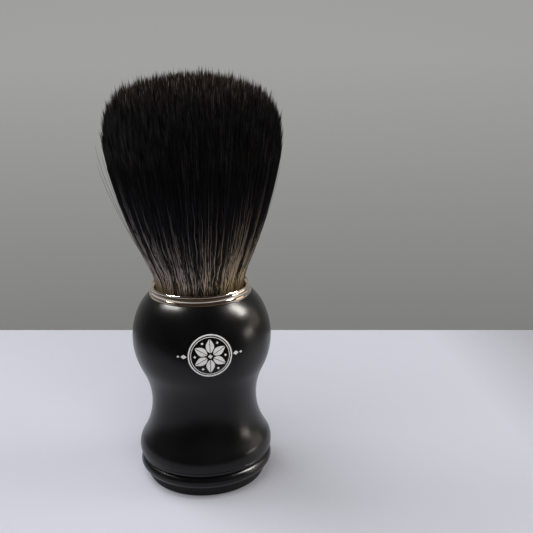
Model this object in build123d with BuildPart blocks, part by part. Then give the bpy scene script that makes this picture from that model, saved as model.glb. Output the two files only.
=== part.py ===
# Shaving brush: a black handle with a weighted base, a plated collar and a socketed hair knot.
# Millimetres, +Z up. The origin is the centre of the foot, on the surface the brush stands on.
# Every piece is turned about the Z axis, so its profile is drawn in the XZ plane as (radius, height).
from build123d import *
import os
from math import cos, hypot, radians, sin

os.makedirs("parts", exist_ok=True)

# Base cap: a tapered foot under a round bead, with a cup for the ballast and a spigot on top
FOOT_R = 15.2           # ring that stands on the surface
FOOT_ROUND = 0.35       # rounding of that ring's outer edge
FOOT_EDGE_R = 16.9      # where the tapered foot meets the bead
FOOT_H = 3.2            # height of the tapered foot
BEAD_R = 17.5           # widest point of the bead
BEAD_Z = 4.65           # height of that point
CAP_H = 6.0             # parting line between cap and handle
NOTCH_R = 16.55         # bottom of the notch at the parting line
NOTCH_H = 0.45          # height of the notch's upper side, on the handle
RECESS_R = 12.6         # shallow recess under the foot
RECESS_H = 0.9
CUP_R = 9.7             # hollow that holds the ballast
CUP_FLOOR_Z = 2.6
SPIGOT_R = 10.95
SPIGOT_TOP_Z = 9.0
FOOT_DISC_GAP = 0.15    # the foot disc's distance from the recess wall and from the surface below
FOOT_DISC_CHAMFER = 0.2

# Ballast
BALLAST_R = 9.5
BALLAST_TOP_Z = 16.4
BALLAST_CHAMFER = 0.6
PAD_R = 10.7

# Handle body: a ball above, a narrow waist, and a smaller bulge below
BALL_BULGE_R = 18.0     # radius of the ball, which is the handle's widest point
BALL_BULGE_Z = 38.7
WAIST_R = 13.8
WAIST_Z = 21.7
LOW_BULGE_R = 17.6
LOW_BULGE_Z = 8.8
SHOULDER_Z = 46.4       # where the ball turns into the shoulder
SEAT_R = 13.35          # outer edge of the flat seat under the collar
HANDLE_TOP_Z = 50.3
LINE_Z = 7.4            # fine line turned into the underside of the low bulge
LINE_DEPTH = 0.12
SOCKET_R = 11.85        # socket for the knot
SOCKET_FLOOR_Z = 32.0
BORE_R = 11.0           # bore for the ballast, from below
BORE_TOP_Z = 19.0

# Collar: a flange, a convex band, a rolled lip that opens like a funnel, and a skirt inside the socket
FLANGE_R = 13.15
FLANGE_H = 0.42
GROOVE_R = 12.8         # fine groove between flange and band
GROOVE_H = 0.24
BAND_R = 12.98          # widest point of the band, which is only a little convex
BAND_H = 0.6            # height of that point above the groove
LIP_OUTER_R = 12.86     # where the band meets the lip
LIP_H = 0.5             # height of the rolled lip
LIP_CROWN_R = 12.6
LIP_INNER_R = 12.34     # where the lip meets the funnel
FUNNEL_H = 1.0          # height of the funnel, from the bore up to the lip
COLLAR_BORE_R = 11.35
COLLAR_TOP_Z = 52.8
SKIRT_R = 11.72
SKIRT_FOOT_Z = 42.0

# Knot: roots of the hair potted in a cup, bound with thread, and bedded in the socket
ADHESIVE_H = 0.6
ADHESIVE_R = 11.8
ADHESIVE_TOP_Z = 41.5
KNOT_CUP_R = 11.25
KNOT_CUP_BORE_R = 10.7
KNOT_CUP_FLOOR = 0.8
KNOT_CUP_TOP_Z = 43.8
RESIN_R = 10.65
RESIN_TOP_Z = 37.4
BINDING_TURNS = 6
BINDING_PITCH = 0.34    # less than the thread's thickness, so the turns press together
BINDING_Z = 37.9        # height of the lowest turn
THREAD_R = 0.2
BOUND_R = 10.2          # bundle of hair under the thread
ROOT_R = 11.1           # bundle of hair above the knot cup
ROOT_TOP_Z = 49.0

# Free hair: it bends at the collar, about a pivot, on a ball that turns in a hollow seat
PIVOT_Z = 52.0
BALL_R = 10.95
CLEARANCE = 0.3         # between the ball and its seat
BEND_LIMIT = 20.0       # degrees to either side
LIP_ANGLE = 4.0         # degrees of ball that still show above the lip at full bend
FLARE_R = 13.1          # where the neck meets the outline of the hair
FLARE_Z = 58.7
FLARE_SLOPE = 0.42      # radius that the outline gains there for each millimetre of height
HAIR_SIDE = ((16.1, 65.9), (19.3, 75.6), (21.4, 84.1))      # (radius, height) up to the widest point
HAIR_WIDEST_R = 22.0
HAIR_WIDEST_Z = 88.2
HAIR_CROWN = ((21.3, 94.4), (18.5, 100.4), (8.4, 104.6))    # (radius, height) up to the top
HAIR_TOP_Z = 106.0


def toward(start, target, distance):
    """The point at a distance from start, on the line to target."""
    share = distance / hypot(target[0] - start[0], target[1] - start[1])
    return (start[0] + share * (target[0] - start[0]), start[1] + share * (target[1] - start[1]))


# Base cap
with BuildPart() as base_cap:
    with BuildSketch(Plane.XZ):
        with BuildLine():
            Polyline((0, CUP_FLOOR_Z), (0, RECESS_H), (RECESS_R, RECESS_H), (RECESS_R, 0), (FOOT_R, 0))
            Line((FOOT_R, 0), (FOOT_EDGE_R, FOOT_H))
            ThreePointArc((FOOT_EDGE_R, FOOT_H), (BEAD_R, BEAD_Z), (NOTCH_R, CAP_H))
            Polyline(
                (NOTCH_R, CAP_H),
                (SPIGOT_R, CAP_H),
                (SPIGOT_R, SPIGOT_TOP_Z),
                (CUP_R, SPIGOT_TOP_Z),
                (CUP_R, CUP_FLOOR_Z),
                (0, CUP_FLOOR_Z),
            )
        make_face()
    revolve(axis=Axis.Z)
    foot_edges = base_cap.edges().filter_by(GeomType.CIRCLE).group_by(Axis.Z)[0]
    fillet(foot_edges.sort_by(SortBy.RADIUS)[-1], radius=FOOT_ROUND)
base_cap.part.label = "base_cap"
export_step(base_cap.part, "parts/base_cap.step")

# Foot disc: a thin cover stuck in the recess under the foot
with BuildPart() as foot_disc:
    with BuildSketch(Plane.XY.offset(FOOT_DISC_GAP)):
        Circle(RECESS_R - FOOT_DISC_GAP)
    extrude(amount=RECESS_H - FOOT_DISC_GAP)
    chamfer(foot_disc.faces().sort_by(Axis.Z)[0].edges(), length=FOOT_DISC_CHAMFER)
foot_disc.part.label = "foot_disc"
export_step(foot_disc.part, "parts/foot_disc.step")

# Ballast weight: a steel slug that stands in the cap's cup and reaches up into the handle
with BuildPart() as ballast_weight:
    with BuildSketch(Plane.XY.offset(CUP_FLOOR_Z)):
        Circle(BALLAST_R)
    extrude(amount=BALLAST_TOP_Z - CUP_FLOOR_Z)
    chamfer(ballast_weight.edges().filter_by(GeomType.CIRCLE), length=BALLAST_CHAMFER)
ballast_weight.part.label = "ballast_weight"
export_step(ballast_weight.part, "parts/ballast_weight.step")

# Ballast pad: a foam disc between the slug and the top of its bore, so that the slug can't rattle
with BuildPart() as ballast_pad:
    with BuildSketch(Plane.XY.offset(BALLAST_TOP_Z)):
        Circle(PAD_R)
    extrude(amount=BORE_TOP_Z - BALLAST_TOP_Z)
ballast_pad.part.label = "ballast_pad"
export_step(ballast_pad.part, "parts/ballast_pad.step")

# Handle body. Its three curves are tangent: the radii of the waist and of the low bulge follow
# from the widest and narrowest points.
ball_centre = (0, BALL_BULGE_Z)
waist_curve = (BALL_BULGE_Z - WAIST_Z) ** 2 + WAIST_R**2 - BALL_BULGE_R**2
waist_curve = waist_curve / (2 * (BALL_BULGE_R - WAIST_R))
waist_centre = (WAIST_R + waist_curve, WAIST_Z)
inset = waist_centre[0] - LOW_BULGE_R
low_curve = inset**2 + (WAIST_Z - LOW_BULGE_Z) ** 2 - waist_curve**2
low_curve = low_curve / (2 * (waist_curve - inset))
low_centre = (LOW_BULGE_R - low_curve, LOW_BULGE_Z)
low_join = toward(low_centre, waist_centre, low_curve)
ball_join = toward(ball_centre, waist_centre, BALL_BULGE_R)
shoulder = ((BALL_BULGE_R**2 - (SHOULDER_Z - BALL_BULGE_Z) ** 2) ** 0.5, SHOULDER_Z)
notch_top_z = CAP_H + NOTCH_H
notch_top = (low_centre[0] + (low_curve**2 - (LOW_BULGE_Z - notch_top_z) ** 2) ** 0.5, notch_top_z)
line_r = low_centre[0] + (low_curve**2 - (LOW_BULGE_Z - LINE_Z) ** 2) ** 0.5

with BuildPart() as handle_body:
    with BuildSketch(Plane.XZ):
        with BuildLine():
            Polyline((0, HANDLE_TOP_Z), (0, CAP_H), (NOTCH_R, CAP_H), notch_top)
            ThreePointArc(notch_top, (LOW_BULGE_R, LOW_BULGE_Z), low_join)
            ThreePointArc(low_join, (WAIST_R, WAIST_Z), ball_join)
            ball = ThreePointArc(ball_join, (BALL_BULGE_R, BALL_BULGE_Z), shoulder)
            TangentArc(shoulder, (SEAT_R, HANDLE_TOP_Z), tangent=ball % 1)
            Line((SEAT_R, HANDLE_TOP_Z), (0, HANDLE_TOP_Z))
        make_face()
        with Locations((line_r, LINE_Z)):
            Circle(LINE_DEPTH, mode=Mode.SUBTRACT)
    revolve(axis=Axis.Z)
    with Locations(Plane.XY.offset(HANDLE_TOP_Z)):
        Hole(radius=SOCKET_R, depth=HANDLE_TOP_Z - SOCKET_FLOOR_Z)
    with Locations(Plane(origin=(0, 0, CAP_H), z_dir=(0, 0, -1))):
        Hole(radius=BORE_R, depth=BORE_TOP_Z - CAP_H)
handle_body.part.label = "handle_body"
export_step(handle_body.part, "parts/handle_body.step")

# Collar
flange_top_z = HANDLE_TOP_Z + FLANGE_H
groove_top_z = flange_top_z + GROOVE_H
lip_foot_z = COLLAR_TOP_Z - LIP_H
with BuildPart() as collar:
    with BuildSketch(Plane.XZ):
        with BuildLine():
            Polyline(
                (LIP_INNER_R, lip_foot_z),
                (COLLAR_BORE_R, lip_foot_z - FUNNEL_H),
                (COLLAR_BORE_R, SKIRT_FOOT_Z),
                (SKIRT_R, SKIRT_FOOT_Z),
                (SKIRT_R, HANDLE_TOP_Z),
                (FLANGE_R, HANDLE_TOP_Z),
                (FLANGE_R, flange_top_z),
                (GROOVE_R, flange_top_z),
                (GROOVE_R, groove_top_z),
            )
            ThreePointArc(
                (GROOVE_R, groove_top_z),
                (BAND_R, groove_top_z + BAND_H),
                (LIP_OUTER_R, lip_foot_z),
            )
            ThreePointArc(
                (LIP_OUTER_R, lip_foot_z),
                (LIP_CROWN_R, COLLAR_TOP_Z),
                (LIP_INNER_R, lip_foot_z),
            )
        make_face()
    revolve(axis=Axis.Z)
collar.part.label = "collar"
export_step(collar.part, "parts/collar.step")

# Socket adhesive: a bed on the socket's floor and a sleeve round the knot cup
with BuildPart() as socket_adhesive:
    with BuildSketch(Plane.XY.offset(SOCKET_FLOOR_Z)):
        Circle(ADHESIVE_R)
    extrude(amount=ADHESIVE_TOP_Z - SOCKET_FLOOR_Z)
    with Locations(Plane.XY.offset(ADHESIVE_TOP_Z)):
        Hole(radius=KNOT_CUP_R, depth=ADHESIVE_TOP_Z - SOCKET_FLOOR_Z - ADHESIVE_H)
socket_adhesive.part.label = "socket_adhesive"
export_step(socket_adhesive.part, "parts/socket_adhesive.step")

# Knot cup: the moulded cup that the roots of the hair are potted in
knot_cup_z = SOCKET_FLOOR_Z + ADHESIVE_H
resin_z = knot_cup_z + KNOT_CUP_FLOOR
with BuildPart() as knot_cup:
    with BuildSketch(Plane.XY.offset(knot_cup_z)):
        Circle(KNOT_CUP_R)
    extrude(amount=KNOT_CUP_TOP_Z - knot_cup_z)
    with Locations(Plane.XY.offset(KNOT_CUP_TOP_Z)):
        Hole(radius=KNOT_CUP_BORE_R, depth=KNOT_CUP_TOP_Z - resin_z)
knot_cup.part.label = "knot_cup"
export_step(knot_cup.part, "parts/knot_cup.step")

# Knot resin: the hard plug of glue at the very end of the hair
with BuildPart() as knot_resin:
    with BuildSketch(Plane.XY.offset(resin_z)):
        Circle(RESIN_R)
    extrude(amount=RESIN_TOP_Z - resin_z)
knot_resin.part.label = "knot_resin"
export_step(knot_resin.part, "parts/knot_resin.step")

# Knot binding: a few turns of thread drawn tight round the roots
with BuildPart() as knot_binding:
    with BuildSketch(Plane.XZ):
        for turn in range(BINDING_TURNS):
            with Locations((BOUND_R + THREAD_R, BINDING_Z + turn * BINDING_PITCH)):
                Circle(THREAD_R)
    revolve(axis=Axis.Z)
knot_binding.part.label = "knot_binding"
export_step(knot_binding.part, "parts/knot_binding.step")

# Hair root: the bound bundle of hair, with the hollow seat that the free hair bends in
binding_foot_z = BINDING_Z - THREAD_R
binding_top_z = BINDING_Z + (BINDING_TURNS - 1) * BINDING_PITCH + THREAD_R
with BuildPart() as hair_root:
    with BuildSketch(Plane.XZ):
        with BuildLine():
            Polyline(
                (0, RESIN_TOP_Z),
                (RESIN_R, RESIN_TOP_Z),
                (RESIN_R, binding_foot_z),
                (BOUND_R, binding_foot_z),
                (BOUND_R, binding_top_z),
                (RESIN_R, binding_top_z),
                (RESIN_R, KNOT_CUP_TOP_Z),
                (ROOT_R, KNOT_CUP_TOP_Z + ROOT_R - RESIN_R),
                (ROOT_R, ROOT_TOP_Z),
                (0, ROOT_TOP_Z),
                (0, RESIN_TOP_Z),
            )
        make_face()
    revolve(axis=Axis.Z)
    with Locations((0, 0, PIVOT_Z)):
        Sphere(BALL_R + CLEARANCE, mode=Mode.SUBTRACT)
hair_root.part.label = "hair_root"
export_step(hair_root.part, "parts/hair_root.step")

# Hair tuft: the outline of the free hair, from the ball inside the collar to the domed tips.
# The neck stays inside the ball up to the angle that the lip reaches at full bend, then flares.
neck = radians(BEND_LIMIT + LIP_ANGLE)
neck_top = (BALL_R * cos(neck), PIVOT_Z + BALL_R * sin(neck))
ball_side = (BALL_R * cos(neck / 2), PIVOT_Z - BALL_R * sin(neck / 2))
with BuildPart() as hair_tuft:
    with BuildSketch(Plane.XZ):
        with BuildLine():
            Line((0, HAIR_TOP_Z), (0, PIVOT_Z - BALL_R))
            ThreePointArc((0, PIVOT_Z - BALL_R), ball_side, neck_top)
            Line(neck_top, (FLARE_R, FLARE_Z))
            Spline(
                (FLARE_R, FLARE_Z),
                *HAIR_SIDE,
                (HAIR_WIDEST_R, HAIR_WIDEST_Z),
                tangents=[(FLARE_SLOPE, 1), (0, 1)],
            )
            Spline(
                (HAIR_WIDEST_R, HAIR_WIDEST_Z),
                *HAIR_CROWN,
                (0, HAIR_TOP_Z),
                tangents=[(0, 1), (-1, 0)],
            )
        make_face()
    revolve(axis=Axis.Z)
hair_tuft.part.label = "hair_tuft"
export_step(hair_tuft.part, "parts/hair_tuft.step")
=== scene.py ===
"""Looks of a shaving brush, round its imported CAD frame. Metres, +Z up, the brush stands on Z = 0."""
import math

import bmesh
import bpy
import numpy as np
from mathutils import Matrix, Quaternion, Vector
from mathutils.kdtree import KDTree


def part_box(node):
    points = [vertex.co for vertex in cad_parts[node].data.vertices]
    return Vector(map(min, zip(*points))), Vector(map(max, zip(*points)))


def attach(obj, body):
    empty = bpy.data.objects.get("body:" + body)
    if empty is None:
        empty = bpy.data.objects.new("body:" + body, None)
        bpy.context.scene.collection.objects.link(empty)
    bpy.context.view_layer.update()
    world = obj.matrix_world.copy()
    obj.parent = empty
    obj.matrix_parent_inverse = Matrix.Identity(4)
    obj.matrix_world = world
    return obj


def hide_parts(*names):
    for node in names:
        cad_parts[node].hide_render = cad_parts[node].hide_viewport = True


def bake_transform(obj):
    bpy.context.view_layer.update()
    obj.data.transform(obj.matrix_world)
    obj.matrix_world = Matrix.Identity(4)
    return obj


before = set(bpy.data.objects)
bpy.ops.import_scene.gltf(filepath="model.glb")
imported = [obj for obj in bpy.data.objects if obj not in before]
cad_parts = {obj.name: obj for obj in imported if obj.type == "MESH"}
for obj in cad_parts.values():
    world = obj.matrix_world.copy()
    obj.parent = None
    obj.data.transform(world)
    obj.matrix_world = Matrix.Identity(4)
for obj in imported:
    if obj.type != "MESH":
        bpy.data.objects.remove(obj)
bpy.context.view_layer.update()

MM = 0.001
TURN = 2 * math.pi
SEED = 7

# Heights and radii that the frame gives
ROOT_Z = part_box("collar")[1].z - 1.2 * MM   # the hair starts here, a little under the collar's lip
TOP_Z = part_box("hair_tuft")[1].z
HAIR_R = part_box("hair_tuft")[1].x
HAIR_LENGTH = TOP_Z - ROOT_Z
FOOT_H = 3.2 * MM           # height of the bare flank of the foot

# Camera, as it stood for the photograph: in front of the brush, a little above it, looking down
CAMERA_DISTANCE = 0.197
CAMERA_HEIGHT = 0.1117
CAMERA_PITCH = math.radians(15.68)
CAMERA_YAW = math.radians(4.99)
CAMERA_ROLL = math.radians(0.887)
CAMERA_LENS = 53.8

# Hair
STRAND_SIDES = 3
COAT_PIECES, COAT_HAIRS = 5, 2200       # hairs in each piece
CROWN_PIECES, CROWN_HAIRS = 3, 7000
COAT_POINTS, CROWN_POINTS = 16, 6       # points along each hair
HAIR_WIDE = 0.15 * MM
TIP_WIDE = 0.03 * MM
BURIED = 6 * MM             # length of a hair inside the collar
BROWN_LENGTH = 5 * MM       # length of the brown end of a hair
CROWN_LENGTH = 13 * MM      # length of the hairs that fill the crown
COAT_DEPTH = 0.42           # share of the fan's radius that whole hairs fill, from the outside
TIP_DRIFT = 0.022           # sideways wandering of the tips, in the fan's unit disc
TIP_SCATTER = 0.5 * MM      # mean unevenness of the tips
LOWEST_TIP_Z = 80 * MM
TUFT_HAIRS = 5              # hairs that meet in one pointed tuft
WISP_HAIRS, LOCK_HAIRS = 3, 40          # hairs that swing together near the root
LEAN = -0.6 * MM            # how far the crown stands off the axis, along X

# Print on the front of the ball
PRINT_TURN = math.radians(5.6)
PRINT_Z = 39.3 * MM
PRINT_RISE = 0.03 * MM
PRINT_SINK = 0.08 * MM
RING_R, RING_WIDE = 5.3 * MM, 0.36 * MM
INNER_RING_R, INNER_RING_WIDE = 4.75 * MM, 0.16 * MM
PETALS = 6
PETAL_INNER_R, PETAL_OUTER_R = 0.85 * MM, 4.3 * MM
HALF_PETAL_WIDE, PETAL_SLIT = 1.9 * MM / 2, 0.16 * MM
DOT_R, DOT_WIDE = 3.75 * MM, 0.7 * MM   # the dots between the petals
CENTRE_WIDE = 1.1 * MM


def add_camera():
    forward = Vector((
        math.sin(CAMERA_YAW) * math.cos(CAMERA_PITCH),
        math.cos(CAMERA_YAW) * math.cos(CAMERA_PITCH),
        -math.sin(CAMERA_PITCH),
    ))
    level = Vector((math.cos(CAMERA_YAW), -math.sin(CAMERA_YAW), 0))
    down = forward.cross(level)
    right = math.cos(CAMERA_ROLL) * level + math.sin(CAMERA_ROLL) * down
    up = math.sin(CAMERA_ROLL) * level - math.cos(CAMERA_ROLL) * down
    turn = Matrix((right, up, -forward)).transposed()
    data = bpy.data.cameras.new("camera")
    data.lens = CAMERA_LENS
    data.clip_start = 0.01
    camera = bpy.data.objects.new("camera", data)
    camera.matrix_world = Matrix.Translation((0, -CAMERA_DISTANCE, CAMERA_HEIGHT)) @ turn.to_4x4()
    bpy.context.scene.collection.objects.link(camera)
    bpy.context.scene.camera = camera


# ---------------------------------------------------------------- node helpers

def new_material(name):
    material = bpy.data.materials.new(name)
    material.use_nodes = True
    tree = material.node_tree
    return material, tree, tree.nodes["Principled BSDF"]


def node(tree, kind, **values):
    """A node with its properties and inputs set. An input's name is written with _ for a space."""
    made = tree.nodes.new(kind)
    for name, value in values.items():
        if hasattr(made, name):
            setattr(made, name, value)
        else:
            made.inputs[name.replace("_", " ")].default_value = value
    return made


def attribute(tree, name):
    return node(tree, "ShaderNodeAttribute", attribute_name=name).outputs["Fac"]


def ramp(tree, factor, stops):
    """A colour ramp over (position, colour or grey) stops."""
    made = tree.nodes.new("ShaderNodeValToRGB")
    elements = made.color_ramp.elements
    while len(elements) < len(stops):
        elements.new(0.5)
    for element, (position, colour) in zip(elements, stops):
        element.position = position
        element.color = (*colour, 1) if isinstance(colour, tuple) else (colour, colour, colour, 1)
    tree.links.new(factor, made.inputs[0])
    return made.outputs[0]


def noise(tree, vector, scale, detail=2.0, roughness=0.5):
    made = node(tree, "ShaderNodeTexNoise", Scale=scale, Detail=detail, Roughness=roughness)
    tree.links.new(vector, made.inputs["Vector"])
    return made.outputs["Fac"]


def maths(tree, operation, *values):
    made = tree.nodes.new("ShaderNodeMath")
    made.operation = operation
    for socket, value in zip(made.inputs, values):
        if isinstance(value, (int, float)):
            socket.default_value = value
        else:
            tree.links.new(value, socket)
    return made.outputs[0]


def mixed(tree, factor, first, second, blend="MIX"):
    """A colour between two colours or colour outputs."""
    made = node(tree, "ShaderNodeMix", data_type="RGBA", blend_type=blend)
    for socket, value in zip((made.inputs[0], made.inputs[6], made.inputs[7]), (factor, first, second)):
        if isinstance(value, tuple):
            socket.default_value = (*value, 1)
        elif isinstance(value, (int, float)):
            socket.default_value = value
        else:
            tree.links.new(value, socket)
    return made.outputs[2]


def bumped(tree, shader, height, strength, distance):
    made = node(tree, "ShaderNodeBump", Strength=strength, Distance=distance)
    tree.links.new(height, made.inputs["Height"])
    tree.links.new(made.outputs[0], shader.inputs["Normal"])


def place(tree):
    return tree.nodes.new("ShaderNodeTexCoord").outputs["Object"]


def part_of(tree, vector, axis):
    split = tree.nodes.new("ShaderNodeSeparateXYZ")
    tree.links.new(vector, split.inputs[0])
    return split.outputs[axis]


# ---------------------------------------------------------------- materials

def satin_black():
    """Black lacquer with a satin shine: a fine skin, cloudy handling marks and a few dust specks.

    The flank of the foot, under the bead, is bare and dull."""
    material, tree, shader = new_material("satin_black")
    where = place(tree)
    skin = noise(tree, where, 3200, 3)
    cloud = noise(tree, where, 130, 4)
    specks = ramp(tree, noise(tree, where, 1500, 5, 0.75), ((0.0, 0.0), (0.72, 0.0), (0.78, 1.0)))
    black = ramp(tree, cloud, ((0.3, (0.0028, 0.0028, 0.003)), (0.7, (0.0046, 0.0046, 0.005))))
    colour = mixed(tree, maths(tree, "MULTIPLY", specks, 0.3), black, (0.03, 0.029, 0.028))
    tree.links.new(colour, shader.inputs["Base Color"])
    rough = maths(tree, "MULTIPLY_ADD", cloud, 0.1, 0.2)
    rough = maths(tree, "MULTIPLY_ADD", specks, 0.2, rough)
    foot = maths(tree, "LESS_THAN", part_of(tree, where, "Z"), FOOT_H)
    tree.links.new(maths(tree, "MULTIPLY_ADD", foot, 0.5, rough), shader.inputs["Roughness"])
    shader.inputs["Specular IOR Level"].default_value = 0.23
    bumped(tree, shader, skin, 0.08, 0.00003)
    return material


def plated():
    """Warm bright plating, with fine turning marks and a thin haze of handling."""
    material, tree, shader = new_material("plated_collar")
    where = place(tree)
    haze = noise(tree, where, 700, 4)
    stretched = node(tree, "ShaderNodeMapping", Scale=(300, 300, 9000))
    tree.links.new(where, stretched.inputs["Vector"])
    lines = noise(tree, stretched.outputs[0], 1.0, 2)
    tint = ramp(tree, haze, ((0.3, (0.7, 0.62, 0.52)), (0.7, (0.8, 0.73, 0.63))))
    tree.links.new(tint, shader.inputs["Base Color"])
    tree.links.new(ramp(tree, haze, ((0.3, 0.03), (0.75, 0.09))), shader.inputs["Roughness"])
    shader.inputs["Metallic"].default_value = 1.0
    bumped(tree, shader, lines, 0.03, 0.00002)
    return material


def plain(name, dark, light, scale, rough, bump, metallic=0.0):
    """A quiet mottled material for the pieces inside and under the brush.

    Its colour and its (low, high) roughness follow one grain of the given scale."""
    material, tree, shader = new_material(name)
    where = place(tree)
    grain = noise(tree, where, scale, 5, 0.6)
    tree.links.new(ramp(tree, grain, ((0.3, dark), (0.7, light))), shader.inputs["Base Color"])
    low, high = rough
    tree.links.new(ramp(tree, grain, ((0.3, low), (0.7, high))), shader.inputs["Roughness"])
    shader.inputs["Metallic"].default_value = metallic
    bumped(tree, shader, grain, bump, 0.0001)
    return material


def printed():
    """Pale ink, a little rubbed."""
    material, tree, shader = new_material("print")
    worn = noise(tree, place(tree), 1800, 5, 0.7)
    ink = ramp(tree, worn, (
        (0.28, (0.36, 0.36, 0.37)),
        (0.45, (0.78, 0.78, 0.79)),
        (0.8, (0.86, 0.86, 0.86)),
    ))
    tree.links.new(ink, shader.inputs["Base Color"])
    tree.links.new(ramp(tree, worn, ((0.3, 0.6), (0.7, 0.4))), shader.inputs["Roughness"])
    bumped(tree, shader, worn, 0.1, 0.00002)
    return material


def hair_material():
    """Dark synthetic bristle: black, brown at the tip, glue-stained at the root. Light is painted into
    its colour:
    a pale sheen on the roots, golden where the warm light from the right falls, a bluish sheen low
    down, a reflection of the collar at the sides, a shadow where the roots meet the collar, and glints
    on a few hairs.

    Each strand carries its own numbers: rise (share of the height above the collar), tip (how brown the
    tip is), pale (painted sheen on the root), painted_warm_light (0 a grey sheen, 1 a golden one),
    stain_and_reflection (glue at the root, with the painted reflection of the collar) and lot (one
    random number a hair)."""
    material, tree, shader = new_material("hair")
    lot = attribute(tree, "lot")
    # The palest few hairs, at the top of this ramp, are painted glints.
    body = ramp(tree, lot, (
        (0.0, (0.0042, 0.004, 0.0043)),
        (0.7, (0.0095, 0.009, 0.0096)),
        (0.93, (0.019, 0.017, 0.017)),
        (1.0, (0.055, 0.05, 0.049)),
    ))
    # The palest few tips, at the top of this ramp, are painted glints.
    brown = ramp(tree, lot, (
        (0.0, (0.0035, 0.002, 0.0014)),
        (0.5, (0.013, 0.0062, 0.0039)),
        (0.88, (0.05, 0.026, 0.017)),
        (0.94, (0.13, 0.085, 0.06)),
        (1.0, (0.6, 0.5, 0.43)),
    ))
    colour = mixed(tree, ramp(tree, attribute(tree, "tip"), ((0.3, 0.0), (1.0, 1.0))), body, brown)
    rise = attribute(tree, "rise")
    # Painted sheen: the lower half of the hair is made lighter and bluish, as if lit by the pale table
    # below.
    painted_table_sheen = maths(tree, "MULTIPLY", ramp(tree, rise, ((0.45, 1.0), (0.65, 0.0))), 0.5)
    colour = mixed(tree, painted_table_sheen, colour, (0.011, 0.0115, 0.0155))
    # Painted sheen: the pale grey root colour stands for light caught by the splayed roots; the golden
    # one for the warm light from the right.
    grey_sheen_root = ramp(tree, rise, (
        (0.0, (0.7, 0.57, 0.45)),
        (0.1, (0.82, 0.7, 0.65)),
        (0.4, (0.57, 0.52, 0.53)),
    ))
    gold_lit_root = ramp(tree, rise, (
        (0.0, (0.92, 0.7, 0.4)),
        (0.12, (0.96, 0.79, 0.57)),
        (0.4, (0.5, 0.38, 0.31)),
    ))
    root = mixed(tree, attribute(tree, "painted_warm_light"), grey_sheen_root, gold_lit_root)
    colour = mixed(tree, attribute(tree, "pale"), colour, root)
    # The ochre just above the collar at the sides is glue, and partly a painted reflection of the
    # collar.
    stain_and_reflection = attribute(tree, "stain_and_reflection")
    glue = maths(tree, "MULTIPLY", ramp(tree, rise, ((0.03, 0.75), (0.09, 0.0))), stain_and_reflection)
    colour = mixed(tree, glue, colour, (0.24, 0.16, 0.07))
    # Painted shadow: the roots are darkened just above the collar, least at the sides where the glue
    # and reflection are.
    shaded = maths(tree, "MULTIPLY_ADD", stain_and_reflection, -0.8, 1.0)
    shaded = maths(tree, "MULTIPLY", ramp(tree, rise, ((0.012, 1.0), (0.06, 0.0))), shaded)
    colour = mixed(tree, shaded, colour, (0.006, 0.004, 0.003))
    tree.links.new(colour, shader.inputs["Base Color"])
    tree.links.new(ramp(tree, lot, ((0.0, 0.6), (1.0, 0.4))), shader.inputs["Roughness"])
    shader.inputs["Specular IOR Level"].default_value = 0.02
    return material


def paint(node_name, material):
    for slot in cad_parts[node_name].material_slots:
        slot.material = material


def paint_cad():
    black = satin_black()
    paint("handle_body", black)
    paint("base_cap", black)
    paint("collar", plated())
    rubber = plain("foot_rubber", (0.014, 0.014, 0.015), (0.03, 0.03, 0.032), 2600, (0.7, 0.9), 0.5)
    paint("foot_disc", rubber)
    steel = plain("ballast_steel", (0.38, 0.38, 0.39), (0.55, 0.55, 0.56), 900, (0.3, 0.5), 0.2, 1.0)
    paint("ballast_weight", steel)
    foam = plain("pad_foam", (0.04, 0.04, 0.043), (0.1, 0.1, 0.105), 1800, (0.85, 0.95), 0.8)
    paint("ballast_pad", foam)
    glue = plain("adhesive", (0.36, 0.22, 0.08), (0.6, 0.42, 0.18), 300, (0.15, 0.3), 0.15)
    paint("socket_adhesive", glue)
    paint("knot_resin", glue)
    cup = plain("cup_plastic", (0.5, 0.5, 0.48), (0.62, 0.62, 0.6), 700, (0.45, 0.6), 0.15)
    paint("knot_cup", cup)
    thread = plain("thread", (0.5, 0.46, 0.37), (0.72, 0.68, 0.58), 5000, (0.8, 0.95), 0.8)
    paint("knot_binding", thread)
    bundle = plain("root_hair", (0.02, 0.013, 0.008), (0.05, 0.034, 0.02), 3000, (0.5, 0.7), 0.7)
    paint("hair_root", bundle)


# ---------------------------------------------------------------- hair

def curve_through(points):
    """A smooth function through (x, y) points, with no overshoot: a cubic between each two of them."""
    x, y = np.array(points, float).T
    step = np.diff(y) / np.diff(x)
    slope = np.concatenate(([step[0]], (step[1:] + step[:-1]) / 2, [step[-1]]))
    slope[1:-1][step[1:] * step[:-1] <= 0] = 0

    def value(at):
        i = np.clip(np.searchsorted(x, at, side="right") - 1, 0, len(x) - 2)
        gap = x[i + 1] - x[i]
        t = np.clip((at - x[i]) / gap, 0, 1)
        a, b = y[i], y[i + 1]
        return (
            a * (1 + 2 * t) * (1 - t) ** 2 + b * t * t * (3 - 2 * t)
            + gap * (slope[i] * t * (1 - t) ** 2 - slope[i + 1] * t * t * (1 - t))
        )

    return value


# Radius of the outermost hair over its height. Above the widest point no hair reaches that far,
# but the fan that the shorter hairs follow goes on.
FAN = curve_through((
    (ROOT_Z - 0.008, 0.0109),
    (ROOT_Z, 0.0112),
    (ROOT_Z + 0.002, 0.0114),
    (ROOT_Z + 0.005, 0.0123),
    (ROOT_Z + 0.008, 0.0136),
    (ROOT_Z + 0.014, 0.0161),
    (ROOT_Z + 0.023, 0.0190),
    (ROOT_Z + 0.032, 0.0212),
    (ROOT_Z + 0.037, HAIR_R),
    (TOP_Z, 0.0246),
))
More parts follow.
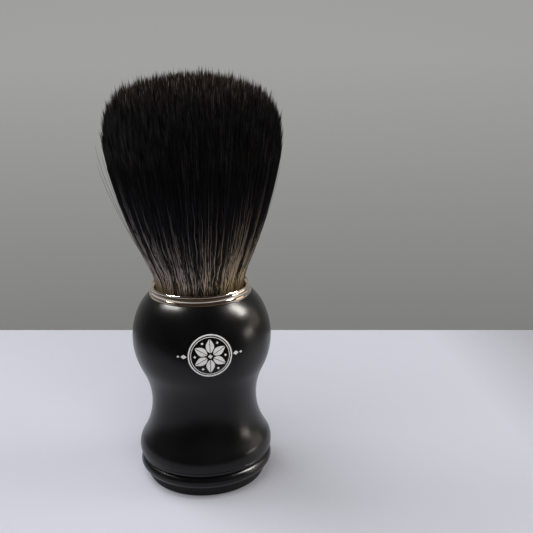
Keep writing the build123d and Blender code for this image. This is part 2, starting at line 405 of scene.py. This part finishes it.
# Height of the tips over their distance from the axis
CROWN = curve_through((
    (0.0, TOP_Z - 0.0002),
    (0.0080, TOP_Z - 0.0012),
    (0.0130, TOP_Z - 0.0025),
    (0.0170, TOP_Z - 0.0043),
    (0.0190, TOP_Z - 0.0062),
    (0.0206, TOP_Z - 0.0092),
    (0.0214, TOP_Z - 0.0120),
    (HAIR_R, TOP_Z - 0.0180),
))


def tip_heights(share):
    """Height at which a hair at this share of the fan's radius meets the crown."""
    low = np.full_like(share, LOWEST_TIP_Z)
    high = np.full_like(share, TOP_Z)
    for _ in range(30):
        middle = (low + high) / 2
        below = middle < CROWN(share * FAN(middle))
        low = np.where(below, middle, low)
        high = np.where(below, high, middle)
    return low


def bump_at(value, middle, width):
    """A smooth hump of height 1 over middle."""
    return np.exp(-((value - middle) / width) ** 2)


def led_by(rng, points, each):
    """For each point, the number of the nearest leader. One point in every so many is a leader."""
    leaders = rng.choice(len(points), len(points) // each, replace=False)
    tree = KDTree(len(leaders))
    for leader in leaders:
        tree.insert(points[leader], leader)
    tree.balance()
    return np.array([tree.find(point)[1] for point in points])


def spots(share, angle):
    """Places in the fan's unit disc."""
    return np.stack((share * np.cos(angle), share * np.sin(angle)), axis=1)


def on_fan(spot, z):
    """Points at heights z of hairs at these places in the fan's unit disc."""
    radius = FAN(z)[..., None]
    lean = np.clip((z - ROOT_Z) / HAIR_LENGTH, 0, 1) * LEAN
    flat = spot * radius
    return np.stack((flat[..., 0] + lean, flat[..., 1], z), axis=-1)


def waves(rng, leader, size, length, heights):
    """Sideways swing of each hair over its height. Hairs with one leader swing together."""
    low, high = size
    swing = rng.uniform(low, high, len(leader))[leader]
    step = rng.uniform(*length, len(leader))[leader]
    phase = rng.uniform(0, TURN, len(leader))[leader]
    return swing[:, None] * np.sin(TURN * heights / step[:, None] + phase[:, None])


def tufted(rng, spot, z):
    """Gathers tips into pointed tufts.

    Gives the number of each tip's leader and the height of each tip: the further from its leader, the
    lower, and each tuft stands out by a random height."""
    tips = on_fan(spot, z)
    leader = led_by(rng, tips, TUFT_HAIRS)
    apart = np.linalg.norm(tips - tips[leader], axis=1)
    standing = np.minimum(rng.exponential(TIP_SCATTER, len(z)), 2 * MM)
    return leader, z - 1.5 * apart + standing[leader]


def browned_and_backlit(near_tip, tip_z, spot):
    """How brown each point of a hair is.

    The tips that stand highest are the most brown. At the front the brown is cut back: a painted
    backlight, the brown showing where light shines through the tips at the edges."""
    high = np.clip((tip_z - TOP_Z) / (11 * MM) + 1.2, 0.15, 1)
    front = np.clip(-spot[:, 1], 0, 1)
    return near_tip * (high * (1 - 0.6 * front**2))[:, None]


def add_coat(rng, material):
    """Whole hairs, from inside the collar to the side and the shoulder of the crown."""
    count = COAT_PIECES * COAT_HAIRS
    share = 1 - rng.beta(1.0, 3.0, count) * COAT_DEPTH
    angle = rng.uniform(0, TURN, count)
    spot = spots(share, angle)
    tip_spot = spot + rng.normal(0, TIP_DRIFT, (count, 2))
    limit = rng.uniform(0.98, 1.035, count)
    tip_spot /= np.maximum(1, np.linalg.norm(tip_spot, axis=1) / limit)[:, None]
    tuft, tip_z = tufted(rng, tip_spot, tip_heights(share) - rng.exponential(TIP_SCATTER, count))
    roots = np.pad(spot, ((0, 0), (0, 1))) * FAN(ROOT_Z)
    lock, wisp = led_by(rng, roots, LOCK_HAIRS), led_by(rng, roots, WISP_HAIRS)

    # A hair keeps near its wisp low down, and closes on its tuft at the tip
    t = np.linspace(0, 1, COAT_POINTS) ** 1.6
    foot_z = ROOT_Z - BURIED
    z = foot_z + (tip_z - foot_z)[:, None] * t
    rise = np.clip((z - ROOT_Z) / HAIR_LENGTH, 0, 1)
    near_tip = np.clip(1 - (tip_z[:, None] - z) / BROWN_LENGTH, 0, 1)
    hold = rng.uniform(0.2, 0.8, count)[:, None] * bump_at(rise, 0.15, 0.18)
    pinch = rng.uniform(0.4, 0.95, count)[:, None] * near_tip**2
    path = spot[:, None] + (tip_spot - spot)[:, None] * rise[..., None] ** 1.5
    path = path + (spot[wisp] - spot)[:, None] * hold[..., None]
    path = path + (tip_spot[tuft] - tip_spot)[:, None] * pinch[..., None]

    # It swings to the sides and in and out, most a little above the collar
    fade = np.exp(-rise / 0.3) * np.clip(rise / 0.03, 0, 1)
    swing = waves(rng, lock, (0.05 * MM, 0.35 * MM), (8 * MM, 14 * MM), z)
    swing = swing + waves(rng, wisp, (0.1 * MM, 0.6 * MM), (6 * MM, 10 * MM), z)
    swing = swing + waves(rng, np.arange(count), (0.0, 0.2 * MM), (5 * MM, 9 * MM), z)
    across = np.stack((-np.sin(angle[wisp]), np.cos(angle[wisp])), axis=1)
    path = path + across[:, None] * (swing * fade / FAN(z))[..., None]
    depth = waves(rng, np.arange(count), (0.0, 0.14 * MM), (6 * MM, 12 * MM), z)
    path = path * (1 + depth * fade / FAN(z))[..., None]

    # Painted sheen: light caught by the roots is painted as their paleness, which reaches further at
    # the left and right; at the right it is golden, a painted warm light
    right = np.cos(angle)
    reach = np.minimum(rng.gamma(6.0, 0.044, count), 0.45) * (1 + 0.3 * right**2)
    chance = rng.random(count)[wisp] * 0.65 + rng.random(count) * 0.35
    bright = chance < 0.41 + 0.14 * np.abs(right)
    strength = np.where(bright, rng.uniform(0.5, 1.0, count), rng.uniform(0.0, 0.1, count))
    pale = strength[:, None] * np.clip(1 - rise / (reach[:, None] + 0.03), 0, 1) ** 0.9
    numbers = {
        "rise": rise,
        "tip": browned_and_backlit(near_tip, tip_z, spot),
        "pale": pale,
        # painted warm light on the right; glue at the sides, with a painted reflection of the collar
        "painted_warm_light": np.clip(1.6 * right + 0.1 + rng.normal(0, 0.18, count)[lock], 0, 1),
        "stain_and_reflection": np.clip(1.5 * np.abs(right) - 0.45 + rng.normal(0, 0.15, count)[lock], 0, 1),
        "lot": rng.random(count),
    }
    taper = np.clip((t - 0.85) / 0.15, 0, 1)
    wide = HAIR_WIDE * (1 - taper**2) + TIP_WIDE
    return add_strands("hair_coat", COAT_PIECES, on_fan(path, z), wide, numbers, material)


def add_crown(rng, material):
    """The upper ends of the hairs inside the coat."""
    count = CROWN_PIECES * CROWN_HAIRS
    share = np.sqrt(rng.random(count)) * 0.97
    spot = spots(share, rng.uniform(0, TURN, count))
    tuft, tip_z = tufted(rng, spot, tip_heights(share) - rng.exponential(TIP_SCATTER, count))
    t = np.linspace(0, 1, CROWN_POINTS) ** 0.6
    z = tip_z[:, None] - CROWN_LENGTH * (1 - t)
    pinch = rng.uniform(0.4, 0.95, count)[:, None] * t**4
    lean = rng.normal(0, 0.02, (count, 2))[tuft, None] * t[:, None]
    path = spot[:, None] + (spot[tuft] - spot)[:, None] * pinch[..., None] + lean
    near_tip = np.clip(1 - (1 - t) * CROWN_LENGTH / BROWN_LENGTH, 0, 1)
    numbers = {
        "rise": np.ones((count, CROWN_POINTS)),
        "tip": browned_and_backlit(near_tip[None], tip_z, spot),
        "pale": np.zeros(count),
        "painted_warm_light": np.zeros(count),
        "stain_and_reflection": np.zeros(count),
        "lot": rng.random(count),
    }
    wide = HAIR_WIDE * (1 - t**3) + TIP_WIDE
    return add_strands("hair_crown", CROWN_PIECES, on_fan(path, z), wide, numbers, material)


def add_strays(rng, material):
    """A few hairs that stand clear of the coat, each at an angle and with its own reach outwards."""
    angles, reach = np.transpose((
        (187, 0.115), (192, 0.09), (199, 0.06), (173, 0.05), (215, 0.05), (262, 0.04), (305, 0.05),
        (341, 0.045), (12, 0.05), (40, 0.06), (78, 0.05), (113, 0.06), (140, 0.07), (232, 0.04),
    ))
    angles = np.radians(angles)
    count = len(angles)
    t = np.linspace(0, 1, COAT_POINTS)
    foot_z = ROOT_Z + rng.uniform(1, 8, count) * MM
    tip_z = TOP_Z - rng.uniform(15, 23, count) * MM
    z = foot_z[:, None] + (tip_z - foot_z)[:, None] * t
    share = 0.985 + reach[:, None] * np.sin(math.pi / 2 * t) ** 1.3
    angle = angles[:, None] + rng.normal(0, 0.03, count)[:, None] * t
    path = np.stack((share * np.cos(angle), share * np.sin(angle)), axis=-1)
    rise = np.clip((z - ROOT_Z) / HAIR_LENGTH, 0, 1)
    numbers = {
        "rise": rise,
        "tip": np.tile(t**3, (count, 1)),
        # painted sheen on the lower part of each stray hair
        "pale": np.clip(0.5 - rise, 0, 1),
        "painted_warm_light": np.zeros(count),
        "stain_and_reflection": np.zeros(count),
        "lot": rng.uniform(0.5, 0.95, count),
    }
    wide = 0.12 * MM * (1 - 0.6 * t)
    return add_strands("stray_hairs", 1, on_fan(path, z), wide, numbers, material)


def add_strands(name, pieces, paths, wide, numbers, material):
    """Closed tapered hairs, dealt out to a few pieces.

    wide is a hair's thickness at each point of its path. numbers are the attributes that the material
    reads, one value a hair or one value a point."""
    made = []
    for number in range(pieces):
        label = f"{name}_{number + 1}" if pieces > 1 else name
        share = {key: values[number::pieces] for key, values in numbers.items()}
        made.append(strands(label, paths[number::pieces], wide, share, material))
    return made


def strands(name, paths, wide, numbers, material):
    """One mesh of hairs: a ring of corners at each point of a path, a closed foot and a pointed tip."""
    count, points, _ = paths.shape
    tangent = np.gradient(paths, axis=1)
    tangent /= np.linalg.norm(tangent, axis=2, keepdims=True)
    side = np.cross(tangent, np.array((0.3, 1.0, 0.05)))
    side /= np.linalg.norm(side, axis=2, keepdims=True)
    other = np.cross(tangent, side)
    angles = np.arange(STRAND_SIDES) * TURN / STRAND_SIDES
    ring = side[:, :, None] * np.cos(angles)[:, None] + other[:, :, None] * np.sin(angles)[:, None]
    body = paths[:, :-1, None] + ring[:, :-1] * (wide[:-1, None, None] / 2)
    verts = np.concatenate((body.reshape(count, -1, 3), paths[:, -1:]), axis=1)

    rings = points - 1
    each = rings * STRAND_SIDES + 1     # vertices of one hair
    quads = []
    for low in range(0, (rings - 1) * STRAND_SIDES, STRAND_SIDES):
        for j in range(STRAND_SIDES):
            k = (j + 1) % STRAND_SIDES
            quads.append((low + j, low + k, low + STRAND_SIDES + k, low + STRAND_SIDES + j))
    last = (rings - 1) * STRAND_SIDES
    tips = [(last + j, last + (j + 1) % STRAND_SIDES, each - 1) for j in range(STRAND_SIDES)]
    foot = [tuple(reversed(range(STRAND_SIDES)))]
    corners = np.concatenate([np.ravel(quads), np.ravel(tips), np.ravel(foot)])
    sizes = np.array([len(face) for face in (*quads, *tips, *foot)])
    loops = (corners + np.arange(count)[:, None] * each).ravel()
    starts = np.concatenate(([0], np.cumsum(np.tile(sizes, count))[:-1]))

    mesh = bpy.data.meshes.new(name)
    mesh.vertices.add(count * each)
    mesh.vertices.foreach_set("co", verts.astype(np.float32).ravel())
    mesh.loops.add(len(loops))
    mesh.loops.foreach_set("vertex_index", loops.astype(np.int32))
    mesh.polygons.add(len(starts))
    mesh.polygons.foreach_set("loop_start", starts.astype(np.int32))
    mesh.polygons.foreach_set("loop_total", np.tile(sizes, count).astype(np.int32))
    mesh.update(calc_edges=True)
    mesh.validate()
    mesh.shade_smooth()
    for key, values in numbers.items():
        if values.ndim == 1:
            values = np.repeat(values[:, None], points, axis=1)
        on_rings = np.repeat(values[:, :-1], STRAND_SIDES, axis=1)
        every = np.concatenate((on_rings, values[:, -1:]), axis=1)
        layer = mesh.attributes.new(key, "FLOAT", "POINT")
        layer.data.foreach_set("value", every.astype(np.float32).ravel())
    map_strands(mesh, count, points, corners)
    mesh.materials.append(material)
    piece = bpy.data.objects.new(name, mesh)
    bpy.context.scene.collection.objects.link(piece)
    return piece


def map_strands(mesh, count, points, corners):
    """Gives each hair a narrow upright cell of the texture, with its root at the bottom."""
    cell_height = 4                     # cells are this many times as high as wide
    columns = math.ceil(math.sqrt(count * cell_height))
    rows = math.ceil(count / columns)
    ring, side = corners // STRAND_SIDES, corners % STRAND_SIDES
    across = np.where(ring == points - 1, 0.5, side / (STRAND_SIDES - 1))
    inset = 0.1
    u = (np.arange(count)[:, None] % columns + inset + (1 - 2 * inset) * across) / columns
    v = (np.arange(count)[:, None] // columns + inset + (1 - 2 * inset) * ring / (points - 1)) / rows
    layer = mesh.uv_layers.new(name="OFBake")
    layer.uv.foreach_set("vector", np.stack((u, v), axis=-1).astype(np.float32).ravel())


def add_core():
    """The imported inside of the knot, dark and fluted, which shows only between hairs."""
    material, tree, shader = new_material("hair_core")
    grain = noise(tree, place(tree), 1500, 3)
    # Painted shade: the core is darker than any hair, for the shade deep inside the knot.
    tree.links.new(ramp(tree, grain, ((0.3, 0.002), (0.7, 0.005))), shader.inputs["Base Color"])
    shader.inputs["Roughness"].default_value = 0.85
    shader.inputs["Specular IOR Level"].default_value = 0.2
    sides, rows, cap_rows = 180, 40, 16
    inside, crown_depth = 0.84, 6.5 * MM
    angle = np.linspace(0, TURN, sides, endpoint=False)
    flute = 1 + 0.012 * np.sin(angle * 45) + 0.006 * np.sin(angle * 17 + 1)
    heights = np.linspace(ROOT_Z - 4 * MM, TOP_Z - 22 * MM, rows)
    rings = list(zip(inside * FAN(heights), heights))
    edge_r, edge_z = rings[-1]
    edge_drop = CROWN(np.array(edge_r)) - crown_depth - edge_z
    for reach in np.linspace(1, 0, cap_rows)[1:-1]:
        z = CROWN(np.array(edge_r * reach)) - crown_depth - edge_drop * reach**6
        rings.append((edge_r * reach, z))
    verts = [(0, 0, heights[0])]
    for r, z in rings:
        lean = (z - ROOT_Z) / HAIR_LENGTH * LEAN
        x, y = r * flute * np.cos(angle), r * flute * np.sin(angle)
        verts.extend(zip(x + lean, y, np.full(sides, z)))
    verts.append((LEAN, 0, TOP_Z - crown_depth))
    faces = [(0, 1 + (j + 1) % sides, 1 + j) for j in range(sides)]
    for low in range(1, len(verts) - 1 - sides, sides):
        for j in range(sides):
            k = (j + 1) % sides
            faces.append((low + j, low + k, low + sides + k, low + sides + j))
    top = len(verts) - 1
    faces.extend((top - sides + j, top - sides + (j + 1) % sides, top) for j in range(sides))
    mesh = bpy.data.meshes.new("hair_core")
    mesh.from_pydata(verts, [], faces)
    mesh.shade_smooth()
    mesh.materials.append(material)
    piece = bpy.data.objects.new("hair_core", mesh)
    bpy.context.scene.collection.objects.link(piece)
    return piece


def add_hair():
    rng = np.random.default_rng(SEED)
    material = hair_material()
    made = add_coat(rng, material) + add_crown(rng, material) + add_strays(rng, material)
    made.append(add_core())
    for piece in made:
        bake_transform(piece)
    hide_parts("hair_tuft")


# ---------------------------------------------------------------- printed rosette

def ball_of(node_name, low, high, least):
    """Height of the centre, and radius, of the sphere on the axis that the outside of a node follows.

    Only the points between two heights and beyond a least radius count."""
    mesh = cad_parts[node_name].data
    points = np.empty(len(mesh.vertices) * 3, np.float32)
    mesh.vertices.foreach_get("co", points)
    x, y, z = points.reshape(-1, 3).astype(float).T
    radius = np.hypot(x, y)
    keep = (z > low) & (z < high) & (radius > least)
    slope, offset = np.polyfit(z[keep], radius[keep] ** 2 + z[keep] ** 2, 1)
    centre = slope / 2
    return centre, math.sqrt(offset + centre**2)


def patch(grid, ball, closed=False):
    """A thin closed solid over a grid of (across, up) places on the front of the ball."""
    centre_z, ball_r = ball
    turn = PRINT_TURN + grid[..., 0] / ball_r
    tilt = math.asin((PRINT_Z - centre_z) / ball_r) + grid[..., 1] / ball_r
    way = np.stack((np.cos(tilt) * np.sin(turn), -np.cos(tilt) * np.cos(turn), np.sin(tilt)), axis=-1)
    centre = np.array((0, 0, centre_z))
    top = (centre + way * (ball_r + PRINT_RISE)).reshape(-1, 3)
    foot = (centre + way * (ball_r - PRINT_SINK)).reshape(-1, 3)
    number = np.arange(len(top)).reshape(grid.shape[:2])
    if closed:
        number = np.vstack((number, number[:1]))
    faces = []
    for a, b in zip(number[:-1], number[1:]):
        for j in range(len(a) - 1):
            faces.append((a[j], b[j], b[j + 1], a[j + 1]))
            faces.append(tuple(corner + len(top) for corner in faces[-1][::-1]))
    borders = [number[:, 0], number[:, -1]]
    if not closed:
        borders += [number[0], number[-1]]
    for border in borders:
        for a, b in zip(border[:-1], border[1:]):
            faces.append((a, b, b + len(top), a + len(top)))
    return np.concatenate((top, foot)), faces


def circle_line(radius, width):
    angle = np.linspace(0, TURN, 96, endpoint=False)[:, None]
    r = radius + np.array((-0.5, 0.5)) * width
    return np.stack((r * np.cos(angle), r * np.sin(angle)), axis=-1)


def half_petal(angle, side):
    """One side of a petal that points outwards at an angle, with a slit along its middle."""
    t = np.linspace(0.02, 0.98, 14)[:, None]
    spread = HALF_PETAL_WIDE * np.sin(math.pi * t**0.85)
    off = side * (PETAL_SLIT / 2 + spread * np.linspace(0, 1, 4))
    along = PETAL_INNER_R + (PETAL_OUTER_R - PETAL_INNER_R) * t * np.ones_like(off)
    across_x = along * math.cos(angle) - off * math.sin(angle)
    up_y = along * math.sin(angle) + off * math.cos(angle)
    return np.stack((across_x, up_y), axis=-1)


def lozenge(x, y, width, height):
    a, b = np.meshgrid(np.linspace(-1, 1, 5), np.linspace(-1, 1, 5), indexing="ij")
    return np.stack((x + (a + b) * width / 4, y + (a - b) * height / 4), axis=-1)


def add_print():
    """A generic rosette in a double ring, between two pairs of lozenges, in place of the real print."""
    ball = ball_of("handle_body", 33 * MM, 45 * MM, 15 * MM)
    solids = [patch(circle_line(RING_R, RING_WIDE), ball, closed=True)]
    solids.append(patch(circle_line(INNER_RING_R, INNER_RING_WIDE), ball, closed=True))
    for number in range(PETALS):
        angle = TURN * (number / PETALS + 0.25)
        for side in (-1, 1):
            solids.append(patch(half_petal(angle, side), ball))
        between = angle + TURN / PETALS / 2
        x, y = DOT_R * math.cos(between), DOT_R * math.sin(between)
        solids.append(patch(lozenge(x, y, DOT_WIDE, DOT_WIDE), ball))
    solids.append(patch(lozenge(0, 0, CENTRE_WIDE, CENTRE_WIDE), ball))
    for side in (-1, 1):
        solids.append(patch(lozenge(side * 6.5 * MM, 0, 1.5 * MM, 1.1 * MM), ball))
        solids.append(patch(lozenge(side * 7.9 * MM, 0, 0.8 * MM, 0.6 * MM), ball))
    verts, faces = [], []
    for points, sides in solids:
        faces.extend(tuple(int(corner) + len(verts) for corner in face) for face in sides)
        verts.extend(points.tolist())
    mesh = bpy.data.meshes.new("front_print")
    mesh.from_pydata(verts, [], faces)
    shape = bmesh.new()
    shape.from_mesh(mesh)
    bmesh.ops.recalc_face_normals(shape, faces=shape.faces)
    shape.to_mesh(mesh)
    shape.free()
    mesh.materials.append(printed())
    piece = bpy.data.objects.new("front_print", mesh)
    bpy.context.scene.collection.objects.link(piece)
    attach(piece, "handle")


# ---------------------------------------------------------------- studio

def add_area(name, towards, distance, size, brightness, colour, roll=0, shine=True, fill=True):
    """A soft rectangular light, seen from the brush in the direction towards, and aimed at the brush.

    It is rolled about its aim by some degrees. A light without shine isn't mirrored by anything,
    and one without fill is only mirrored."""
    aim = Vector((0, 0, 0.05))
    data = bpy.data.lights.new(name, "AREA")
    data.shape = "RECTANGLE"
    data.size, data.size_y = size
    data.energy = brightness * math.pi * size[0] * size[1]
    data.color = colour
    light = bpy.data.objects.new(name, data)
    light.location = aim + Vector(towards).normalized() * distance
    upright = (aim - light.location).to_track_quat("-Z", "Y")
    light.rotation_euler = (upright @ Quaternion((0, 0, 1), math.radians(roll))).to_euler()
    light.visible_glossy = shine
    light.visible_diffuse = fill
    bpy.context.scene.collection.objects.link(light)


def add_table():
    """A pale plain table. It ends behind the brush, level in the picture.

    Its colour darkens between 50 mm and 100 mm in front of the brush, and beyond 90 mm to either side:
    a painted pool of light round the brush, with painted shade beyond it."""
    material, tree, shader = new_material("table")
    where = tree.nodes.new("ShaderNodeNewGeometry").outputs["Position"]
    pale = ramp(tree, noise(tree, where, 6, 2), ((0.2, (0.76, 0.77, 0.86)), (0.8, (0.8, 0.81, 0.9))))
    # Painted shade: away from the brush the table's colour darkens to a dark warm brown.
    ahead = maths(tree, "MULTIPLY_ADD", part_of(tree, where, "Y"), 20, 2)
    aside = maths(tree, "ABSOLUTE", part_of(tree, where, "X"))
    fade = maths(
        tree, "MULTIPLY",
        ramp(tree, ahead, ((0.0, 0.0), (1.0, 1.0))),
        ramp(tree, aside, ((0.09, 1.0), (0.16, 0.4), (0.3, 0.12))),
    )
    tree.links.new(mixed(tree, fade, (0.05, 0.032, 0.022), pale), shader.inputs["Base Color"])
    shader.inputs["Roughness"].default_value = 0.6
    shader.inputs["Specular IOR Level"].default_value = 0.3
    back, width, depth = 0.10825, 3.0, 2.0
    x = width / 2
    corners = [(-x, 0, 0), (x, 0, 0), (x, -depth, 0), (-x, -depth, 0)]
    mesh = bpy.data.meshes.new("table")
    mesh.from_pydata(corners, [], [(3, 2, 1, 0)])
    mesh.materials.append(material)
    table = bpy.data.objects.new("table", mesh)
    table.location = (0, back, 0)
    table.rotation_euler = (0, 0, math.radians(-7.54))
    bpy.context.scene.collection.objects.link(table)


def add_surround():
    """Grey surroundings: lighter behind the brush than in front of it, and darker towards the floor."""
    world = bpy.data.worlds.new("world")
    world.use_nodes = True
    tree = world.node_tree
    way = tree.nodes.new("ShaderNodeTexCoord").outputs["Generated"]
    back = maths(tree, "MULTIPLY_ADD", part_of(tree, way, "Y"), 0.5, 0.5)
    up = maths(tree, "MULTIPLY_ADD", part_of(tree, way, "Z"), 0.5, 0.5)
    grey = ramp(tree, back, (
        (0.0, (0.04, 0.03, 0.024)),
        (0.5, (0.08, 0.08, 0.08)),
        (0.62, (0.12, 0.12, 0.12)),
        (0.75, (0.25, 0.25, 0.25)),
        (0.87, (0.33, 0.33, 0.32)),
        (1.0, (0.36, 0.36, 0.348)),
    ))
    shade = ramp(tree, up, (
        (0.33, 0.6),
        (0.4, 0.77),
        (0.49, 1.0),
        (0.7, 0.85),
        (0.9, 0.35),
        (1.0, 0.2),
    ))
    colour = mixed(tree, 1.0, grey, shade, "MULTIPLY")
    tree.links.new(colour, tree.nodes["Background"].inputs[0])
    bpy.context.scene.world = world


def add_studio():
    add_table()
    add_surround()
    add_area("window", (-0.6, 0.4, 0.7), 2.0, (1.6, 1.2), 2.6, (0.98, 0.99, 1.0), shine=False)
    add_area("ceiling", (-0.25, -0.3, 1.0), 1.5, (1.2, 1.2), 2.2, (0.98, 0.99, 1.0), shine=False)
    add_area("front", (0.2, -0.9, 0.3), 1.5, (1.1, 0.7), 3.9, (1.0, 0.97, 0.93), shine=False)
    add_area("right", (0.8, -0.1, 0.4), 1.5, (0.8, 0.8), 2.0, (1.0, 0.95, 0.88), shine=False)
    add_area("key", (-0.58, 0.06, 0.81), 0.8, (0.35, 0.05), 130, (1.0, 0.97, 0.92), roll=45, fill=False)
    add_area("side", (0.779, -0.005, 0.627), 0.8, (0.2, 0.36), 51, (1.0, 0.96, 0.9), fill=False)
    add_area("side_low", (0.967, 0.2, 0.19), 0.8, (0.36, 0.3), 1.7, (1.0, 0.88, 0.74), fill=False)
    add_area("side_floor", (0.985, -0.15, 0.03), 0.8, (0.22, 0.1), 11, (1.0, 0.93, 0.82), fill=False)
    bpy.context.scene.view_settings.view_transform = "Standard"


add_camera()
add_studio()
paint_cad()
add_hair()
add_print()
